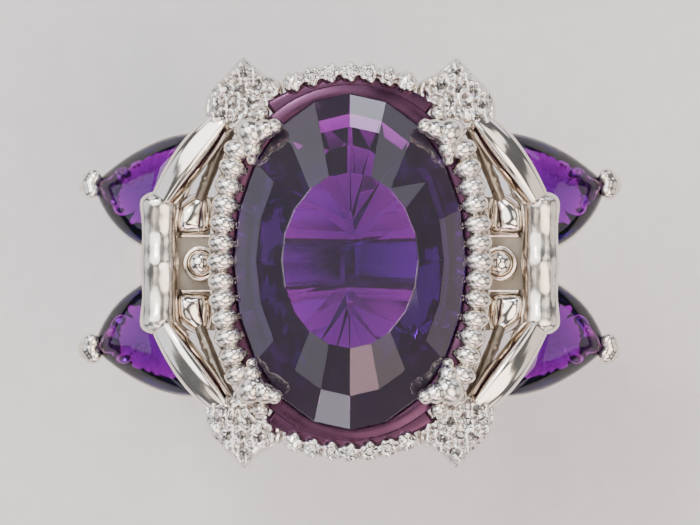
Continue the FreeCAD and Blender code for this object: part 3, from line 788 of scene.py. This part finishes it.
# The strap runs along Y. Its waist and swell are half widths, and its knuckles are places along it.
STRAP_X, STRAP_Z = 8.97, 12.8
STRAP_HALF_LENGTH = 3.42
STRAP_WAIST, STRAP_SWELL = 0.83, 0.11
KNUCKLES = (-2.75, 0.0, 2.75)

# The petal's outline on the plate, and the flat place of its highest point.
PETAL_CORNERS = [(6.55, 1.6), (7.3, 1.4), (8.1, 1.45), (8.16, 2.35), (7.85, 3.0), (7.1, 3.36), (6.55, 3.0)]
PETAL_PEAK = Vector((7.68, 2.0))


def arm_section(t):
    """A broad half-round bar, widest at its middle, with a soft ridge a little outside its crown."""
    swell = 0.84 + 0.24 * math.sin(math.pi * min(1, max(0, t)))
    pairs = []
    for k in range(32):
        turn = 2 * math.pi * k / 32
        c, s = math.cos(turn), math.sin(turn)
        crown = 0.16 * math.exp(-(((turn - 1.2) / 0.32) ** 2))
        dip = 0.07 * math.exp(-(((turn - 2.0) / 0.3) ** 2))
        pairs.append((0.74 * swell * c, (0.56 if s > 0 else 0.42) * s * (1 + crown - dip)))
    return pairs


def build_arms():
    made = mesh_object("arm", *sweep(arc_through(*ARM_PATH, 30), arm_section))
    outward(made)
    in_every(CORNERS, made, "arm", "white_gold", POLISHED)


def build_under_arms():
    """A thin round bar with a few soft lumps along it, coloured dark brown as painted shade under the arm.
    """
    low = arc_through(*UNDER_ARM_PATH, 16)
    solids = [sweep(low, even(0.28, 0.29))]
    for step, size in ((8, 0.2), (9, 0.23), (12, 0.22), (13, 0.2)):
        solids.append(ball(low[step] + Vector((0.12, 0.02, 0.06)), size))
    made = cast("under_arm", solids, voxel=0.05, soften=2, lumps=(0.02, 0.3, 5))
    # Painted shade: the bar is coloured dark brown, as it lies in shadow under the arm.
    in_every(CORNERS, made, "under_arm", "white_gold", PAINTED_SHADE_METAL)


def strap_section(t):
    """Full at three knuckles, with two waists between them and a rounded end on each side."""
    y = -STRAP_HALF_LENGTH + 2 * STRAP_HALF_LENGTH * t
    swell = max(math.exp(-(((y - k) / 0.72) ** 2)) for k in KNUCKLES)
    half = STRAP_WAIST + STRAP_SWELL * swell
    deep = 0.44 + 0.22 * (half - STRAP_WAIST) / STRAP_SWELL
    close = math.sqrt(max(0.04, 1 - max(0.0, (abs(2 * t - 1) - 0.84) / 0.165) ** 2))
    return round_section(half * close, deep * close + 0.06, 2.1, 24)


def build_straps():
    """A rounded bar like a length of bamboo, with two soft lumps on each knuckle."""
    length, steps = 2 * STRAP_HALF_LENGTH, 70
    path = [Vector((STRAP_X, -STRAP_HALF_LENGTH + length * i / steps, STRAP_Z)) for i in range(steps + 1)]
    for seed, (side, mirror) in enumerate(SIDES.items()):
        rng = random.Random(130 + seed)
        solids = [sweep(path, strap_section)]
        for knuckle in KNUCKLES:
            for _ in range(2):
                x, y = STRAP_X + rng.uniform(-0.35, 0.35), knuckle + rng.uniform(-0.3, 0.3)
                lump = (rng.uniform(0.3, 0.42), rng.uniform(0.28, 0.4), 0.27)
                solids.append(ball((x, y, STRAP_Z + 0.34), lump))
        made = cast(f"strap_{side}", solids, voxel=0.055, soften=5, lumps=(0.022, 1.1, seed))
        place(made, f"strap_{side}", "textured_white_gold", [CAST], mirror)


def build_petals():
    """A polished pillow that stands on the plate and rises in a smooth dome to an off-centre peak."""
    outline = smooth_outline(PETAL_CORNERS, 8)
    count, rings, wall, rise = len(outline), 12, 0.2, 0.84
    points = [Vector((*p, PLATE_TOP)) for p in outline]
    for ring in range(1, rings):
        shrink = (ring / rings) ** 1.5
        height = PLATE_TOP + wall + (rise - wall) * math.sqrt(1 - (1 - shrink) ** 2)
        points += [Vector((*p.lerp(PETAL_PEAK, shrink), height)) for p in outline]
    points.append(Vector((*PETAL_PEAK, PLATE_TOP + rise)))
    last, peak = (rings - 1) * count, rings * count
    faces = [list(range(count))[::-1]] + ring_faces(rings, count)
    faces += [[last + k, last + (k + 1) % count, peak] for k in range(count)]
    made = cast("petal", [(points, faces)], voxel=0.05, soften=3)
    in_every(CORNERS, made, "petal", "white_gold", POLISHED)


# ---- recess: collet, its dome, and the plate they stand on -------------------------------------------

# The tube's profile is (radius, height above the plate), and closes under the dome.
COLLET_CENTRE = (7.05, 0, PLATE_TOP)
COLLET_TUBE = [
    (0, 0.0), (0.84, 0.0), (0.85, 0.1), (0.84, 0.42), (0.80, 0.53),
    (0.72, 0.55), (0.65, 0.5), (0.63, 0.4), (0.62, 0.16), (0, 0.16),
]


def build_collets():
    collet = lathe("collet", COLLET_TUBE, COLLET_CENTRE)
    in_every(SIDES, collet, "collet", "white_gold", POLISHED)
    foot, girdle, radius, rise = 0.17, 0.5, 0.6, 0.48
    profile = [(0, foot), (radius, foot), (radius, girdle)]
    for k in range(1, 9):
        turn = math.pi / 2 * k / 8
        profile.append((radius * math.cos(turn), girdle + rise * math.sin(turn)))
    dome = lathe("collet_stone", profile, COLLET_CENTRE)
    in_every(SIDES, dome, "collet_stone", "cabochon", POLISHED)


def build_plates():
    """The recess floor under the collet and petals, coloured dark brown as painted shade, and its two thin
    bright edges.
    """
    inner, outer, half = 6.0, 9.2, 3.15
    corners = [(inner, -half), (outer, -half), (outer, half), (inner, half)]
    floor = mesh_object("shoulder_plate", *prism(corners, PLATE_BOTTOM, PLATE_TOP), smooth=False)
    outward(floor)
    softened(floor, 0.06)
    # Painted shade: the floor is coloured dark brown, as it lies in shadow under the strap.
    in_every(SIDES, floor, "shoulder_plate", "white_gold", PAINTED_SHADE_METAL)
    points, faces = [], []
    for sign in (-1, 1):
        path = [Vector((6.3 + 1.75 * i / 10, sign * 1.3, PLATE_TOP + 0.1)) for i in range(11)]
        edge_points, edge_faces = sweep(path, even(0.08, 0.13, 2.5, 12))
        faces += [[i + len(points) for i in face] for face in edge_faces]
        points += edge_points
    edges = mesh_object("plate_edge", points, faces)
    outward(edges)
    in_every(SIDES, edges, "plate_edge", "white_gold", POLISHED, is_node=False)


# ---- side trillions ----------------------------------------------------------------------------------

# The stone's three girdle corners. It slopes down and out to its tip.
TRILLION_TIP = Vector((12.2, 3.9, 8.6))
TRILLION_BACK = Vector((7.3, 6.2, 11.0))
TRILLION_FRONT = Vector((9.35, 0.75, 10.75))
TRILLION_PER_SIDE = 16
PAVILION = 1.3

# How far each ring of the stone is from its middle, as a share of its outline, and its height.
TRILLION_RINGS = [
    (0.2, -PAVILION), (0.55, -PAVILION * 0.72), (0.82, -PAVILION * 0.34), (1.0, -0.04),
    (1.0, 0.06), (0.93, 0.17), (0.83, 0.31), (0.7, 0.44), (0.55, 0.55), (0.38, 0.63), (0.18, 0.67),
]


def trillion_frame():
    """The stone's centre, the turn from its own axes, and its corners in those axes.

    Its X runs to the tip and its Z stands out of the stone.
    """
    centre = (TRILLION_TIP + TRILLION_BACK + TRILLION_FRONT) / 3
    normal = (TRILLION_BACK - TRILLION_TIP).cross(TRILLION_FRONT - TRILLION_TIP).normalized()
    heading = (TRILLION_TIP - centre).normalized()
    turn = Matrix((heading, normal.cross(heading), normal)).transposed()
    corners = (TRILLION_TIP, TRILLION_BACK, TRILLION_FRONT)
    return centre, turn, [turn.transposed() @ (p - centre) for p in corners]


def trillion_ring(scale, height):
    """Points round the stone's outline of three bowed sides, at a height above its girdle."""
    bulge = 0.55
    ring = []
    for here, there in zip(TRILLION_CORNERS, TRILLION_CORNERS[1:] + TRILLION_CORNERS[:1]):
        out = ((here + there) / 2).normalized() * bulge
        for k in range(TRILLION_PER_SIDE):
            t = k / TRILLION_PER_SIDE
            spot = (here.lerp(there, t) + out * 4 * t * (1 - t)) * scale
            ring.append(Vector((spot.x, spot.y, height)))
    return ring


def from_trillion(spot):
    """A point given in the stone's own axes, turned into the frame's."""
    return TRILLION_CENTRE + TRILLION_TURN @ Vector(spot)


TRILLION_CENTRE, TRILLION_TURN, TRILLION_CORNERS = trillion_frame()


def build_trillion_stones():
    """A low dome over a pavilion with small dents in it, which break up the light."""
    facets = random.Random(7)
    points = []
    for scale, height in TRILLION_RINGS:
        for spot in trillion_ring(scale, height):
            dent = facets.uniform(-0.09, 0.09) if height < -0.1 else 0.0
            points.append(from_trillion((spot.x, spot.y, height + dent)))
    made = mesh_object("trillion_stone", points, capped_faces(len(TRILLION_RINGS), 3 * TRILLION_PER_SIDE))
    outward(made)
    in_every(CORNERS, made, "trillion_stone", "side_amethyst", AMETHYST_SIDE)


def build_trillion_baskets():
    """Two wire rings under the stone, joined by legs."""
    rim = [from_trillion(p) for p in trillion_ring(1.02, -0.2)]
    low = [from_trillion(p) for p in trillion_ring(0.62, -1.35)]
    solids = [
        sweep(rim + rim[:2], even(0.12, 0.2)),
        sweep(low + low[:2], even(0.16, 0.14)),
    ]
    for k in range(0, len(rim), 8):
        leg = [rim[k].lerp(low[k], t / 5) for t in range(6)]
        solids.append(sweep(leg, even(0.2, 0.16)))
    made = cast("trillion_basket", solids, voxel=0.06, soften=2)
    in_every(CORNERS, made, "trillion_basket", "white_gold", POLISHED)


def build_v_claws():
    """A post up to the stone's tip, and a blunt head with a lobe over each side of the tip."""
    reach = TRILLION_CORNERS[0].x
    path = [(reach - 0.3, 0, -1.35), (reach + 0.1, 0, -0.6), (reach + 0.14, 0, 0.1)]
    post = [from_trillion(spot) for spot in path]
    lobes = [
        ((reach + 0.3, 0.0, 0.08), (0.5, 0.56, 0.5)),
        ((reach - 0.02, 0.34, 0.26), (0.46, 0.42, 0.34)),
        ((reach - 0.02, -0.34, 0.26), (0.46, 0.42, 0.34)),
        ((reach + 0.12, 0.0, 0.36), (0.46, 0.44, 0.28)),
    ]
    solids = [sweep(post, lambda t: round_section(0.42 + 0.2 * t, 0.34))]
    solids += [ball(from_trillion(spot), radii, TRILLION_TURN) for spot, radii in lobes]
    made = cast("v_claw", solids, voxel=0.05, soften=6, lumps=(0.02, 0.7, 3))
    in_every(CORNERS, made, "v_claw", "white_gold", CAST)


# ---- camera, floor and lights, in metres -------------------------------------------------------------

# Name, place, width, power in watts and tint. All of them point at the ring.
SOFTBOXES = [
    ("over back left", (-0.19, 0.15, 0.47), 0.42, 1.9, (1.0, 0.98, 0.97)),
    ("over front right", (0.16, -0.125, 0.47), 0.34, 1.5, (1.0, 0.86, 0.74)),
    ("over back right", (0.21, 0.17, 0.47), 0.20, 0.25, (1.0, 0.93, 0.86)),
    ("over front left", (-0.17, -0.20, 0.47), 0.18, 0.16, (1.0, 0.90, 0.82)),
    ("back", (0.05, 0.44, 0.42), 0.15, 0.55, (0.86, 0.88, 1.0)),
    ("front", (0.02, -0.42, 0.305), 0.17, 0.5, (1.0, 0.62, 0.66)),
    ("front high", (-0.10, -0.42, 0.45), 0.17, 0.4, (0.92, 0.90, 1.0)),
    ("low left", (-0.50, 0.03, 0.22), 0.42, 0.6, (0.86, 0.90, 1.0)),
    ("low right", (0.50, -0.03, 0.22), 0.42, 0.5, (1.0, 0.90, 0.84)),
    ("low back left", (-0.27, 0.45, 0.20), 0.34, 0.55, (0.90, 0.86, 1.0)),
    ("low back right", (0.30, 0.42, 0.20), 0.34, 0.4, (0.88, 0.88, 1.0)),
    ("low front left", (-0.28, -0.44, 0.20), 0.34, 0.4, (0.95, 0.93, 1.0)),
    ("low front right", (0.27, -0.44, 0.20), 0.34, 0.55, (1.0, 0.82, 0.80)),
    ("sparkle", (-0.12, 0.24, 0.46), 0.04, 0.35, (1.0, 1.0, 1.0)),
]
LIT_POINT = (0, 0, 0.012)


def stand(name, data, spot, target):
    """Puts a light or camera at a spot and points it at a target."""
    holder = bpy.data.objects.new(name, data)
    holder.location = spot
    holder.rotation_euler = (Vector(target) - holder.location).to_track_quat("-Z", "Y").to_euler()
    bpy.context.scene.collection.objects.link(holder)
    return holder


def build_floor():
    """Plain paper that just clears the bottom of the band."""
    half, height = 1.2, -BAND_R * MM - 0.0001
    corners = [(-half, -half, height), (half, -half, height), (half, half, height), (-half, half, height)]
    floor = mesh_object("floor", corners, [[0, 1, 2, 3]])
    paper, shader, _ = material("floor_paper")
    colour = ramp(paper, object_noise(paper, 900, 3.0), (0.74, 0.73, 0.72), (0.78, 0.77, 0.76))
    paper.node_tree.links.new(colour, shader.inputs["Base Color"])
    shader.inputs["Roughness"].default_value = 0.85
    floor.data.materials.append(paper)


def build_lights():
    world = bpy.data.worlds.new("studio")
    bpy.context.scene.world = world
    world.use_nodes = True
    sky = world.node_tree.nodes["Background"]
    sky.inputs["Color"].default_value = (0.74, 0.76, 0.82, 1)
    sky.inputs["Strength"].default_value = 0.2
    for name, spot, width, power, tint in SOFTBOXES:
        light = bpy.data.lights.new(name, "AREA")
        light.shape = "DISK"
        light.size = width
        light.energy = power
        light.color = tint
        stand(name, light, spot, LIT_POINT)


def build_camera():
    """Almost straight down on the table, with the finger axis upright in the frame."""
    distance, elevation = 0.35, math.radians(88)
    target = Vector((0.0, 0.0, 0.0137))
    camera = bpy.data.cameras.new("camera")
    camera.lens = 383
    camera.sensor_width = 36
    camera.clip_start = 0.01
    spot = target + Vector((0, -math.cos(elevation), math.sin(elevation))) * distance
    bpy.context.scene.camera = stand("camera", camera, spot, target)


build_band()
build_shoulders()
build_gallery_base()
build_stone_cup()
build_center_stone()
build_rails()
build_crests()
build_claws()
build_leaves()
build_arms()
build_under_arms()
build_straps()
build_petals()
build_collets()
build_plates()
build_trillion_stones()
build_trillion_baskets()
build_v_claws()
build_floor()
build_lights()
build_camera()
